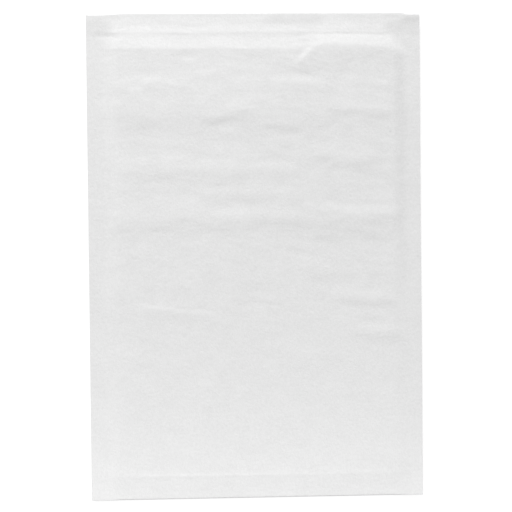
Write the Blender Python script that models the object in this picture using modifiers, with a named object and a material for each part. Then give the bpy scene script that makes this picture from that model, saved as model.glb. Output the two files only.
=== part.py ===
"""A padded paper envelope, unused and lying on its back with the address side up.

The paper is one web: back panel, bottom fold, front panel, top fold and flap. Its side edges are
glued in pressed strips, and the flap is folded under the back. Inside it lies a pocket of bubble
film, and the flap carries a strip of adhesive under a peel-off strip.
Lengths are in metres. X runs across the envelope, Y towards the top fold and Z up from the table.
Depths are measured down the envelope from its top fold.
"""

from math import cos, exp, hypot, pi, sin

import bmesh
import bpy

MM = 0.001

# Outer sizes
WIDTH = 240 * MM
LENGTH = 350 * MM
PAPER = 0.2 * MM
CLEARANCE = 0.3 * MM

# Side seams, whose pressed strips rise to the padding on a slope
SEAM = 10.5 * MM
FRONT_SLOPE = 11 * MM
BACK_SLOPE = 15 * MM
SEAM_DROP_TOP = 2.3 * MM
SEAM_DROP_LOW = 0.7 * MM
SEAM_DROP_SPAN = (50 * MM, 330 * MM)

# Height of the front panel over the padding, and the depths between which it falls
PAD_TOP = 6.6 * MM
PAD_LOW = 4.0 * MM
PAD_SPAN = (-70 * MM, 385 * MM)

# Crown where the flap lies under the pack, which steps down past the flap's free edge
CROWN = 0.9 * MM
CROWN_RISE = 40 * MM
CROWN_FALL = 20 * MM

# Band below the top fold, which has no padding under it
BAND = 17 * MM
BAND_SLOPE = 9 * MM
BAND_HEIGHT = 4.3 * MM
BAND_RIDGE = 12.5 * MM
BAND_RIDGE_RISE = 0.2 * MM
BAND_RIDGE_REACH = 2 * MM
BAND_CREASE = 15.5 * MM
BAND_CREASE_DROP = 0.15 * MM
BAND_CREASE_REACH = 1.2 * MM
FOLD_REACH = 2.6 * MM
FOLD_REACH_SEAM = 1.2 * MM
CORNER_RISE = 0.5 * MM
CORNER_TUCK = 11 * MM

# Bottom fold and the pressed line above it
LOW_FOLD_REACH = 1.8 * MM
LOW_FOLD_REACH_SEAM = 0.35 * MM
LOW_LINE = 332.5 * MM
LOW_LINE_RISE = 0.2 * MM
LOW_LINE_REACH = 1.8 * MM
LOW_BAND_DROP = 0.5 * MM

# Flap and mouth, under the pack
FLAP = 65 * MM
MOUTH = 18 * MM
FLAP_CLEAR = 20 * MM

# Adhesive on the flap's inner face and the strip that covers it
ADHESIVE_WIDTH = 12 * MM
ADHESIVE_LENGTH = 228 * MM
ADHESIVE_THICK = 0.2 * MM
RELEASE_WIDTH = 17 * MM
RELEASE_LENGTH = 236 * MM
RELEASE_THICK = 0.15 * MM
STRIP_INSET = 4 * MM

# Pocket of bubble film
LINER_SIDE = 106.5 * MM
LINER_WALL_SIDE = 5.5 * MM
LINER_FOLD = 346.5 * MM
LINER_WALL_FOLD = 6.5 * MM
LINER_MOUTH = 20 * MM
LINER_LIP = 28 * MM
LINER_GAP = 0.5 * MM
POCKET = 0.25 * MM
POCKET_MOUTH = 0.4 * MM

# Broad wrinkles of the front panel: start (x, depth), end (x, depth), reach and height
WRINKLES = [
    (34, 33, 48, 24, 4.5, 0.45),
    (-98, 53, -62, 52, 5, 0.15),
    (10, 52, 50, 52, 5, 0.15),
    (-35, 75, -8, 72, 4.5, 0.25),
    (5, 79, 32, 81, 4.5, 0.2),
    (58, 69, 95, 71, 5, 0.2),
    (-90, 112, -15, 114, 8, 0.3),
    (0, 113, 28, 114, 5, 0.15),
    (48, 103, 85, 106, 6, 0.25),
    (-35, 130, 40, 131, 6, 0.2),
    (-100, 148, 100, 146, 9, 0.4),
    (40, 186, 62, 186, 5, 0.15),
    (-82, 213, -40, 217, 5, 0.2),
    (60, 205, 100, 206, 5, 0.2),
    (74, 231, 100, 231, 5, 0.2),
]

# Spacing of the sheet's rows over the top band, the padding's edge and its wrinkled and smooth parts
BAND_STEP = 3.3 * MM
EDGE_STEP = 3 * MM
WRINKLED_STEP = 4.7 * MM
WRINKLED_TO = 165 * MM
CALM_STEP = 9 * MM
CALM_TO = 240 * MM
SMOOTH_STEP = 21 * MM
LINE_STEP = 2.2 * MM
LINER_STEP = 9 * MM
LINER_STEP_SMOOTH = 27 * MM
FOLD_STEPS = 6

# Spacing of its columns up the slopes beside the seams and over the padding
SLOPE_STEP = 2.75 * MM
COLUMN_STEP = 15.5 * MM
PINCH_COLUMNS = [28 * MM, 41 * MM, 53 * MM]

HALF = WIDTH / 2
TOP_Y = LENGTH / 2
RIM_X = HALF - PAPER / 2
SEAM_OPEN = PAPER + CLEARANCE
STRIPS_THICK = ADHESIVE_THICK + RELEASE_THICK + 3 * CLEARANCE
PAD_EDGE = BAND + BAND_SLOPE + EDGE_STEP


def remove_everything():
    for thing in list(bpy.data.objects):
        bpy.data.objects.remove(thing)


def mix(low, high, share):
    return low + (high - low) * share


def ramp(value, start, end):
    """Rise smoothly from 0 at start to 1 at end."""
    share = min(max((value - start) / (end - start), 0.0), 1.0)
    return share * share * (3 - 2 * share)


def inward(x):
    return HALF - abs(x)


def front_bulge(x, depth):
    """1 over the padding and 0 on the pressed strips, which widen at the ends of the top band."""
    tuck = CORNER_TUCK * ramp(depth, FOLD_REACH, BAND) * ramp(depth, BAND + BAND_SLOPE, BAND)
    return ramp(inward(x), SEAM + tuck, SEAM + FRONT_SLOPE + tuck)


def back_bulge(x):
    return ramp(inward(x), SEAM, SEAM + BACK_SLOPE)


def pad_height(depth):
    """Height of the front over the padding, which thins towards the bottom fold."""
    crown = ramp(depth, FLAP - CROWN_RISE, FLAP) * ramp(depth, FLAP + CROWN_FALL, FLAP)
    return mix(PAD_TOP, PAD_LOW, ramp(depth, *PAD_SPAN)) + CROWN * crown


def seam_height(depth):
    """Height of the front panel's layer in the pressed strips."""
    drop = mix(SEAM_DROP_TOP, SEAM_DROP_LOW, ramp(depth, *SEAM_DROP_SPAN))
    rise = CORNER_RISE * ramp(depth, MOUTH, FOLD_REACH)
    return pad_height(depth) - drop + rise


def line_bump(depth, line, reach):
    return exp(-(((depth - line) / reach) ** 2))


def wrinkle(x, depth, fold):
    """Height that one wrinkle adds, a rounded ridge along a straight line that fades at its ends."""
    x0, d0, x1, d1, reach, height = (value * MM for value in fold)
    run, fall = x1 - x0, d1 - d0
    along = ((x - x0) * run + (depth - d0) * fall) / (run * run + fall * fall)
    along = min(max(along, 0.0), 1.0)
    away = hypot(x - x0 - along * run, depth - d0 - along * fall)
    return height * exp(-((away / reach) ** 2))


def front_height(x, depth):
    """Height of the front panel's middle surface."""
    body = ramp(depth, BAND, BAND + BAND_SLOPE)
    over = mix(BAND_HEIGHT, pad_height(depth), body)
    over += BAND_RIDGE_RISE * line_bump(depth, BAND_RIDGE, BAND_RIDGE_REACH)
    over -= BAND_CREASE_DROP * line_bump(depth, BAND_CREASE, BAND_CREASE_REACH)
    over += LOW_LINE_RISE * line_bump(depth, LOW_LINE, LOW_LINE_REACH)
    over -= LOW_BAND_DROP * ramp(depth, LOW_LINE, LENGTH)
    over += sum(wrinkle(x, depth, fold) for fold in WRINKLES)
    return mix(seam_height(depth), over, front_bulge(x, depth))


def back_height(x, depth):
    """Height of the back panel's middle surface, which lies on the table below the flap."""
    on_table = ramp(depth, FLAP + PAPER, FLAP + FLAP_CLEAR)
    under = mix(PAPER + STRIPS_THICK, 0, on_table) + PAPER / 2
    return mix(seam_height(depth) - SEAM_OPEN, under, back_bulge(x))


def spaced(start, end, step):
    """Evenly spaced values from start up to, but not with, end."""
    count = max(round((end - start) / step), 1)
    return [mix(start, end, number / count) for number in range(count)]


def front_depths():
    """Rows of the front panel below the mouth, close together where its form changes."""
    depths = spaced(MOUTH, PAD_EDGE, EDGE_STEP) + spaced(PAD_EDGE, WRINKLED_TO, WRINKLED_STEP)
    depths += spaced(WRINKLED_TO, CALM_TO, CALM_STEP)
    depths += spaced(CALM_TO, LOW_LINE - 2 * LINE_STEP, SMOOTH_STEP)
    depths += [LOW_LINE + LINE_STEP * number for number in (-2, -1, 0, 1, 2)]
    return depths + [(LOW_LINE + LENGTH) / 2]


def sheet_rows():
    """The web's rows from the flap's free edge to the mouth edge of the back panel."""
    band_depths = spaced(FOLD_REACH + BAND_STEP, BAND_RIDGE, BAND_STEP)
    band_depths += [BAND_RIDGE, (BAND_RIDGE + BAND_CREASE) / 2, BAND_CREASE]
    band = [("front", depth) for depth in band_depths]
    front = [("front", depth) for depth in front_depths()]
    back = [("back", depth) for _, depth in reversed(front)]
    turns = [step / FOLD_STEPS for step in range(FOLD_STEPS + 1)]
    flap = [("flap", FLAP), ("flap", FLAP / 2)]
    top = [("top fold", 1 - turn) for turn in turns]
    low = [("low fold", turn) for turn in turns]
    return flap + top + band + front + low + back


def sheet_point(x, row):
    """Place on the folded web of the column at x in one of its rows."""
    panel, value = row
    if panel == "flap":
        return x, TOP_Y - value, PAPER / 2
    if panel == "front":
        return x, TOP_Y - value, front_height(x, value)
    if panel == "back":
        return x, TOP_Y - value, back_height(x, value)
    if panel == "top fold":
        depth = FOLD_REACH
        reach = mix(FOLD_REACH_SEAM, FOLD_REACH, front_bulge(x, depth)) - PAPER / 2
        upper, lower, side = front_height(x, depth), PAPER / 2, 1
    else:
        reach = mix(LOW_FOLD_REACH_SEAM, LOW_FOLD_REACH, front_bulge(x, LENGTH))
        depth = LENGTH - PAPER / 2 - reach
        upper, lower, side = front_height(x, depth), back_height(x, depth), -1
    turn = pi * value
    height = (upper + lower) / 2 + (upper - lower) / 2 * cos(turn)
    return x, TOP_Y - depth + side * reach * sin(turn), height


def sheet_columns():
    """Columns of the web: the rims, the strips' inner edges, their slopes and the padding."""
    padding = HALF - SEAM - max(FRONT_SLOPE, BACK_SLOPE)
    right = spaced(HALF - SEAM, padding, -SLOPE_STEP) + [RIM_X]
    middle = spaced(-padding, padding, COLUMN_STEP) + [padding]
    return sorted([-x for x in right] + middle + right + PINCH_COLUMNS)


def material(name, colour, roughness, alpha=1.0):
    made = bpy.data.materials.new(name)
    made.use_nodes = True
    shader = made.node_tree.nodes["Principled BSDF"]
    shader.inputs["Base Color"].default_value = (*colour, 1)
    shader.inputs["Roughness"].default_value = roughness
    shader.inputs["Metallic"].default_value = 0
    shader.inputs["Alpha"].default_value = alpha
    return made


def finish_object(name, bm, surface, parts):
    mesh = bpy.data.meshes.new(name)
    bm.to_mesh(mesh)
    bm.free()
    mesh.materials.append(surface)
    mesh.shade_smooth()
    mesh.set_sharp_from_angle(angle=pi / 6)
    thing = bpy.data.objects.new(name, mesh)
    parts.objects.link(thing)
    return thing


def blank_sheet(bm, across, along, place):
    """Lay a flat grid of across by along cells and move each corner to its place."""
    bmesh.ops.create_grid(bm, x_segments=across, y_segments=along, size=0.5)
    table = {}
    for vert in bm.verts:
        column = round((vert.co.x + 0.5) * across)
        row = round((vert.co.y + 0.5) * along)
        table[column, row] = vert
        vert.co = place(column, row)
    return table


def close_side_seams(bm, table, rows, columns):
    """Join the front and back panels along both rims, up to the mouth."""
    mouth = rows.index(("front", MOUTH))
    last = len(rows) - 1
    for column in (0, len(columns) - 1):
        for step in range((last - mouth) // 2 + 1):
            row, across = mouth + step, last - step
            ring = [table[column, row], table[column, row + 1]]
            if row + 1 < across - 1:
                ring.append(table[column, across - 1])
            if row + 1 < across:
                ring.append(table[column, across])
            if len(ring) > 2:
                bmesh.ops.contextual_create(bm, geom=ring)


def make_outer_paper(parts):
    rows, columns = sheet_rows(), sheet_columns()
    bm = bmesh.new()
    table = blank_sheet(bm, len(columns) - 1, len(rows) - 1,
                        lambda column, row: sheet_point(columns[column], rows[row]))
    close_side_seams(bm, table, rows, columns)
    bmesh.ops.dissolve_limit(bm, angle_limit=pi / 3600, verts=bm.verts, edges=bm.edges)
    bmesh.ops.triangulate(bm, faces=bm.faces)
    bmesh.ops.recalc_face_normals(bm, faces=bm.faces)
    paper = finish_object("outer_paper", bm, material("white_paper", (0.79, 0.79, 0.79), 0.75), parts)
    skin = paper.modifiers.new("Paper thickness", "SOLIDIFY")
    skin.thickness = PAPER
    skin.offset = 0
    skin.use_even_offset = True
    return paper


def liner_section(x, depth, inside):
    """Upper and lower surface of the bubble film at x, outside or inside the pocket."""
    upper = front_height(x, depth) - PAPER / 2 - LINER_GAP
    lower = back_height(x, depth) + PAPER / 2 + LINER_GAP
    if not inside:
        return upper, lower
    middle = (upper + lower) / 2
    reach = mix(POCKET_MOUTH, POCKET, ramp(depth, LINER_MOUTH, LINER_LIP))
    return middle + reach, middle - reach


def make_bubble_liner(parts):
    """A flat pocket with thick walls, drawn as rings up the outside and down the inside."""
    shut_line = LINER_FOLD - LINER_WALL_FOLD
    rows = spaced(LINER_MOUTH + EDGE_STEP, PAD_EDGE, EDGE_STEP)
    rows += spaced(PAD_EDGE, FLAP + FLAP_CLEAR, LINER_STEP)
    rows += spaced(FLAP + FLAP_CLEAR, shut_line - EDGE_STEP, LINER_STEP_SMOOTH)
    rows += [shut_line - EDGE_STEP]
    turn = [shut_line, mix(shut_line, LINER_FOLD, 0.8)]
    outside = [(LINER_FOLD, False, True)] + [(row, False, False) for row in reversed(rows + turn)]
    rim = [(LINER_MOUTH, False, False), (LINER_MOUTH, True, False)]
    inside = [(row, True, False) for row in rows]
    rings = outside + rim + inside + [(shut_line, True, True)]
    half = [0.12, 0.35, 0.6, 0.8, 0.89, 0.945, 0.98, 1.0]
    shares = [-share for share in reversed(half)] + half
    around = 2 * (len(shares) - 1)

    def place(column, row):
        depth, inner, shut = rings[row]
        side = LINER_SIDE - LINER_WALL_SIDE * inner
        over = column <= around / 2
        share = shares[column if over else around - column]
        upper, lower = liner_section(share * side, depth, inner)
        if shut or abs(share) == 1:
            upper = lower = (upper + lower) / 2
        return share * side, TOP_Y - depth, upper if over else lower

    bm = bmesh.new()
    blank_sheet(bm, around, len(rings) - 1, place)
    bmesh.ops.remove_doubles(bm, verts=bm.verts, dist=0.01 * MM)
    surface = material("bubble_film", (0.86, 0.87, 0.88), 0.25, 0.6)
    return finish_object("bubble_liner", bm, surface, parts)


def make_strip(name, width, length, thick, bottom, surface, parts):
    """A flat strip across the flap, set in from the flap's free edge."""
    bm = bmesh.new()
    bmesh.ops.create_cube(bm, size=1)
    middle = TOP_Y - FLAP + STRIP_INSET + ADHESIVE_WIDTH / 2
    bmesh.ops.scale(bm, vec=(length, width, thick), verts=bm.verts)
    bmesh.ops.translate(bm, vec=(0, middle, bottom + thick / 2), verts=bm.verts)
    return finish_object(name, bm, surface, parts)


def main():
    remove_everything()
    parts = bpy.data.collections.new("padded_envelope")
    bpy.context.scene.collection.children.link(parts)
    make_outer_paper(parts)
    make_bubble_liner(parts)
    glue_bottom = PAPER + CLEARANCE
    glue = material("hot_melt", (0.85, 0.8, 0.62), 0.3)
    make_strip("adhesive_strip", ADHESIVE_WIDTH, ADHESIVE_LENGTH, ADHESIVE_THICK, glue_bottom, glue, parts)
    cover_bottom = glue_bottom + ADHESIVE_THICK + CLEARANCE
    cover = material("release_paper", (0.9, 0.9, 0.88), 0.35)
    make_strip("release_strip", RELEASE_WIDTH, RELEASE_LENGTH, RELEASE_THICK, cover_bottom, cover, parts)


main()
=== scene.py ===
# %% [markdown]
# # A padded paper envelope
# The envelope lies on its back, unused, with its plain address side up.
# It is one web of white paper folded round a pocket of bubble film: flap, top fold, front panel,
# bottom fold and back panel. Its sides are glued in flat strips, and the flap is folded under.
# This lesson loads the solid model as a frame and dresses each piece of it.

# %% Load the frame
from contextlib import contextmanager
from math import cos, hypot, pi, radians, sin

import bmesh
import bpy
import numpy as np
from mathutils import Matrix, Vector, noise


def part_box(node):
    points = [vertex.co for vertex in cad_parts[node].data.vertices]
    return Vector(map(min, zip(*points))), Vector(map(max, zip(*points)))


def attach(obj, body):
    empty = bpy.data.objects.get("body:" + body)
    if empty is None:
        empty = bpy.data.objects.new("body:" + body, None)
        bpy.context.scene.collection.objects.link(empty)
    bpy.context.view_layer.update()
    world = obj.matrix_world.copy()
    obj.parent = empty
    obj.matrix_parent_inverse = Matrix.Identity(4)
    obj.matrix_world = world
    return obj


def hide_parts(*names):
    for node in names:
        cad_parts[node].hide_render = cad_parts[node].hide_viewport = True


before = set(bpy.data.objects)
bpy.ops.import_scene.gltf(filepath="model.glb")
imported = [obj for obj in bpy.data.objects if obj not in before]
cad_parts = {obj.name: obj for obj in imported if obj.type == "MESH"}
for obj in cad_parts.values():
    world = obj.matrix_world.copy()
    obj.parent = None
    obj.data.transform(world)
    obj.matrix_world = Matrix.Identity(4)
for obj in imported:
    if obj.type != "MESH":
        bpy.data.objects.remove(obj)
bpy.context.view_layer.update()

print("pieces in the frame:", sorted(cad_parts))

# %% [markdown]
# ## Sizes
# Lengths are in metres, X runs across, Y towards the top fold and Z up from the table.
# A depth is measured down the envelope from its top fold.
# The sizes of the folded web are the frame's own, so that every dressed piece lands on its solid.

# %% Sizes of the folded web
MM = 0.001
WIDTH, LENGTH, PAPER = 240 * MM, 350 * MM, 0.2 * MM
HALF, TOP_Y = WIDTH / 2, LENGTH / 2
# Depths of the flap's free edge and of the mouth's edge, both under the back
FLAP, MOUTH = 65 * MM, 18 * MM
print("face", round(WIDTH / MM), "by", round(LENGTH / MM), "mm, flap", round(FLAP / MM), "mm")

# %% [markdown]
# ## Smooth ramps
# Paper has no steps, it slopes from one height to another. A smooth ramp describes that: it is 0
# on one side of an edge and 1 on the other, and a panel's height is mixed from such ramps.
# A curve object could give each slope too, but a formula lets every place ask for its own height.
# Numpy works out a whole row of the sheet at once.

# %% Ramps
def mix(low, high, share):
    return low + (high - low) * share


def ramp(value, start, end):
    """Rise smoothly from 0 at start to 1 at end."""
    share = np.clip((value - start) / (end - start), 0.0, 1.0)
    return share * share * (3 - 2 * share)


print("a ramp from 0 to 10 at 2, 5 and 8:", [round(float(ramp(value, 0, 10)), 2) for value in (2, 5, 8)])

# %% [markdown]
# ## Padding between pressed strips
# The sides of the real envelope are pressed flat and glued, and the padding lifts the paper
# between them. A place's height follows from its distance to the side and from its depth.
# A cloth simulation could puff such a pillow up too, but it would put the folds and wrinkles
# elsewhere.

# %% Where the padding lies
# Widths of the pressed strips and of the slopes beside them, left and then right
SEAM, FRONT_SLOPE = 10.5 * MM, 13 * MM
SEAM_RIGHT, FRONT_SLOPE_RIGHT = 8.7 * MM, 11.5 * MM
# At the left, the padding spreads out towards the top fold
CORNER_SPREAD, SPREAD_SPAN = 4 * MM, (11 * MM, 3 * MM)
# The right strip widens by this much below the fold, and is narrow again at the last depth
TUCK, TUCK_START, TUCK_FULL, TUCK_END = 10 * MM, 2.6 * MM, 9 * MM, 32 * MM


def front_bulge(x, depth):
    """1 over the padding and 0 on the side strips."""
    left = SEAM - CORNER_SPREAD * ramp(depth, *SPREAD_SPAN)
    right = SEAM_RIGHT + TUCK * ramp(depth, TUCK_START, TUCK_FULL) * ramp(depth, TUCK_END, TUCK_FULL)
    seam = np.where(x > 0, right, left)
    return ramp(HALF - abs(x), seam, seam + np.where(x > 0, FRONT_SLOPE_RIGHT, FRONT_SLOPE))


print("share of the padding 15 mm from the sides:",
      [round(float(front_bulge(side * 105 * MM, LENGTH / 2)), 2) for side in (-1, 1)])

# %% Heights of the padding and of the side strips
# Height of the padding above and below, and the depths between which it falls
PAD_TOP, PAD_LOW, PAD_SPAN = 6.6 * MM, 4.0 * MM, (-70 * MM, 385 * MM)
CROWN, CROWN_TOP, CROWN_RISE, CROWN_FALL = 0.6 * MM, 70 * MM, 40 * MM, 22 * MM
# How far the strips lie below the padding, by depth in millimetres
DROP_DEPTHS = (0, 60, 110, 140, 190, 220, 260, 335)
DROPS_LEFT = (1.8, 1.7, 1.6, 1.6, 1.55, 1.5, 1.2, 0.6)
DROPS_RIGHT = (1.7, 1.7, 2.1, 2.15, 1.6, 1.1, 0.7, 0.6)
# How far they rise again at the top corners, and the depth at which the top fold begins
CORNER_RISE, CORNER_RISE_RIGHT, FOLD_REACH = 0.5 * MM, 0.7 * MM, 2.6 * MM


def pad_height(depth):
    return mix(PAD_TOP, PAD_LOW, ramp(depth, *PAD_SPAN))


def crown(depth):
    """Rise of the front where the flap lies under the pack."""
    rising = ramp(depth, CROWN_TOP - CROWN_RISE, CROWN_TOP)
    return CROWN * rising * ramp(depth, CROWN_TOP + CROWN_FALL, CROWN_TOP)


def seam_height(x, depth):
    corner = ramp(depth, MOUTH, FOLD_REACH)
    left = np.interp(depth / MM, DROP_DEPTHS, DROPS_LEFT) * MM - CORNER_RISE * corner
    right = np.interp(depth / MM, DROP_DEPTHS, DROPS_RIGHT) * MM - CORNER_RISE_RIGHT * corner
    return pad_height(depth) - np.where(x > 0, right, left)


print("padding at the flap and at the bottom, mm:", round(pad_height(FLAP) / MM, 2),
      round(pad_height(LENGTH) / MM, 2))

# %% The back panel and the flap's ends
# Slope beside the strips, way from the flap down to the table, slit between the pressed
# strips, and room for the adhesive and its cover
BACK_SLOPE, FLAP_CLEAR, SEAM_OPEN, STRIPS_THICK = 15 * MM, 20 * MM, 0.5 * MM, 1.25 * MM
# Lift of the flap's ends at the fold and below it, and where it changes and begins
END_LIFT_TOP, END_LIFT, LIFT_SPAN, LIFT_FROM = 3.5 * MM, 2.3 * MM, (25 * MM, 44 * MM), 98 * MM


def back_height(x, depth):
    """Middle of the back panel's paper, which clears the flap and then lies on the table."""
    on_table = ramp(depth, FLAP + PAPER, FLAP + FLAP_CLEAR)
    under = mix(PAPER + STRIPS_THICK, 0, on_table) + PAPER / 2
    return mix(seam_height(x, depth) - SEAM_OPEN, under, ramp(HALF - abs(x), SEAM, SEAM + BACK_SLOPE))


def end_lift(x, depth):
    """The ends of the flap and of its strips follow the side seams up, most of all at the fold."""
    return mix(END_LIFT_TOP, END_LIFT, ramp(depth, *LIFT_SPAN)) * ramp(abs(x), LIFT_FROM, HALF)


print("the flap's free corners lie", round(float(end_lift(HALF, FLAP)) / MM, 1), "mm above the table")

# %% [markdown]
# ## Wrinkles of the front panel
# Paper over bubbles takes soft ridges across the envelope, most of them near the flap.
# A broad wrinkle is a rounded ridge along a line. Each is drawn one by one, because where they lie
# is what makes this envelope itself. Sculpting would do as well, but numbers can be changed later.

# %% Broad wrinkles: start (x, depth), end (x, depth), reach and height in millimetres
WRINKLES = [
    (33, 34, 46, 24, 3, 0.08), (55, 28, 97, 28, 10, 0.45), (-98, 53, -62, 52, 5, 0.15),
    (10, 52, 50, 52, 5, 0.15), (-35, 75, -8, 72, 4.5, 0.15), (5, 79, 32, 81, 4.5, 0.12),
    (58, 69, 95, 71, 5, 0.2), (-90, 112, -15, 114, 8, 0.3), (0, 113, 28, 114, 5, 0.15),
    (48, 103, 85, 106, 6, 0.25), (-35, 130, 40, 131, 6, 0.2), (-100, 148, 100, 146, 9, 0.3),
    (40, 186, 62, 186, 5, 0.15), (-82, 213, -40, 217, 5, 0.2), (60, 205, 100, 206, 5, 0.2),
    (74, 231, 100, 231, 5, 0.2),
]


def along_line(x, depth, x0, d0, x1, d1):
    """Distance along a line from its start, signed distance across it, and its length."""
    run, fall = x1 - x0, d1 - d0
    length = hypot(run, fall)
    along = ((x - x0) * run + (depth - d0) * fall) / length
    across = ((depth - d0) * run - (x - x0) * fall) / length
    return along, across, length


def wrinkle_relief(x, depth):
    relief = 0
    for fold in WRINKLES:
        x0, d0, x1, d1, reach, height = (value * MM for value in fold)
        along, across, length = along_line(x, depth, x0, d0, x1, d1)
        beyond = along - np.clip(along, 0, length)
        relief = relief + height * np.exp(-(across**2 + beyond**2) / reach**2)
    return relief


print(len(WRINKLES), "broad wrinkles")

# %% [markdown]
# ## The front panel's broad form
# Below the top fold lies an empty band, because the pocket of film starts further down. From
# there the front rises over the padding's edge, is full over the flap, sags a little right of the
# middle and ends in a pressed line above the bottom fold.

# %% Band, sag and bottom line
# The band lies lower than the padding by so much, by depth in millimetres
BAND_DEPTHS = (0, 3, 9, 12.5, 14.2, 16, 17.5, 25.5)
BAND_FALLS = (2.75, 2.6, 2.15, 1.68, 1.45, 1.35, 1.2, 0)
# The padding's edge lies nearer to the fold right of the middle, by place across in millimetres
EDGE_PLACES, EDGE_RISES = (-110, 20, 32, 46, 75, 88, 96), (0, -0.7, -0.7, 3, 2.5, 0.3, 0)
# Depths in millimetres over which that shift sets in
EDGE_SPAN = (12, 20)
# Shares of the band's fall and of the crown, by place across in millimetres
ACROSS = (-112, -98, -30, 30, 80, 92, 100)
BAND_SHARE, CROWN_SHARE = (0.6, 0.93, 0.92, 0.8, 0.7, 0.66, 0.5), (1, 1, 1, 0.6, 0.35, 0.28, 0.2)
# The sag: how deep, where it sets in across, and the depths of its start, middle and end
SAG, SAG_ACROSS, SAG_TOP, SAG_DEEP, SAG_END = 1.0 * MM, (-20 * MM, 40 * MM), 20 * MM, 165 * MM, 345 * MM
# The pressed line above the bottom fold, and how far the paper drops below it
LOW_LINE, LOW_LINE_RISE, LOW_LINE_REACH, LOW_BAND_DROP = 332.5 * MM, 0.06 * MM, 1.8 * MM, 0.5 * MM


def front_height(x, depth):
    """Middle of the front panel's paper, before its fine creases."""
    over = pad_height(depth) + crown(depth) * np.interp(x / MM, ACROSS, CROWN_SHARE)
    past = depth / MM + np.interp(x / MM, EDGE_PLACES, EDGE_RISES) * ramp(depth / MM, *EDGE_SPAN)
    over = over - np.interp(past, BAND_DEPTHS, BAND_FALLS) * MM * np.interp(x / MM, ACROSS, BAND_SHARE)
    over = over + LOW_LINE_RISE * np.exp(-(((depth - LOW_LINE) / LOW_LINE_REACH) ** 2))
    over = over - LOW_BAND_DROP * ramp(depth, LOW_LINE, LENGTH) + wrinkle_relief(x, depth)
    sag = SAG * ramp(x, *SAG_ACROSS) * ramp(depth, SAG_TOP, SAG_DEEP) * ramp(depth, SAG_END, SAG_DEEP)
    return mix(seam_height(x, depth), over - sag, front_bulge(x, depth))


print("height of the middle at 10, 70 and 175 mm from the fold, mm:",
      [round(float(front_height(0, depth * MM)) / MM, 2) for depth in (10, 70, 175)])

# %% [markdown]
# ## Creases
# A crease is narrower than a wrinkle: the paper tilts along its line, so that one side catches
# the light. A positive tilt rises towards the bottom of the envelope and faces its top, where
# the light comes from, and shows bright. A negative one shows dark. They are drawn one by one too.

# %% Creases in millimetres: start (x, depth), end (x, depth) and tilt, by part of the panel
CREASES_TOP_LEFT = [
    (-110, 35, -101, 32, 1.5), (-90, 36, -85, 36, 1), (-53, 34, -42, 33.5, 2.5),
    (-40, 43, -22, 41, 2), (-98, 49.5, -92, 49, 1), (-80, 49, -67, 47, 3.4),
    (-90, 57, -80, 54, 3.2), (-101, 63.5, -95, 63.5, 2.5), (-60, 51, -45, 52, 1),
    (-55, 47, -45, 46, 1.5), (-15, 48, -5, 46.5, 2), (-40, 62, -30, 61, 1.5),
    (-20, 66, -5, 65, 2), (-90, 89, -80, 88, 1), (-55, 92, -42, 92, 1.5),
    (-30, 98, -22, 97, 1.7), (-25, 82, -17, 85, 1.2), (-85, 105, -78, 104.5, 1.5),
    (-68, 104, -48, 103, 1.2), (-45, 110, -28, 108, 1.2), (-75, 131, -66, 133, 1.5),
    (-48, 135, -40, 131, 1), (-12, 125, -2, 126, 0.8), (-85, 166, -70, 166, 0.7),
    (-55, 166, -30, 166, 0.6), (-48, 172, -42, 172, 0.7), (-15, 168, -10, 168, 0.7),
    (-92, 42, -72, 40, -1.5), (-62, 66, -52, 68, -1), (-45, 69, -5, 71, -1.5),
    (-52, 75, -38, 73, -1), (-100, 75, -60, 77, -1.2), (-85, 82, -75, 81, -1.5),
    (-33, 80, -10, 75.5, -2.4), (-10, 79, 0, 77, -1), (-75, 117, -60, 119, -1.2),
    (-55, 120, -38, 121, -1), (-35, 123, -18, 123, -2), (-20, 117, -5, 119, -1.3),
    (-78, 127, -68, 126, -0.8), (-35, 139, -20, 138, -1.5), (-20, 134, 0, 136, -1.2),
    (-55, 150, -42, 148, -1.8), (-100, 157, -90, 156, -1.2), (-85, 157, -60, 153, -1.5),
    (-45, 153, -20, 157, -2), (-10, 155, 0, 155, -1.5), (-60, 160, -40, 161, -0.8),
    (-95, 163, -82, 163, -0.8),
]
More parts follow.
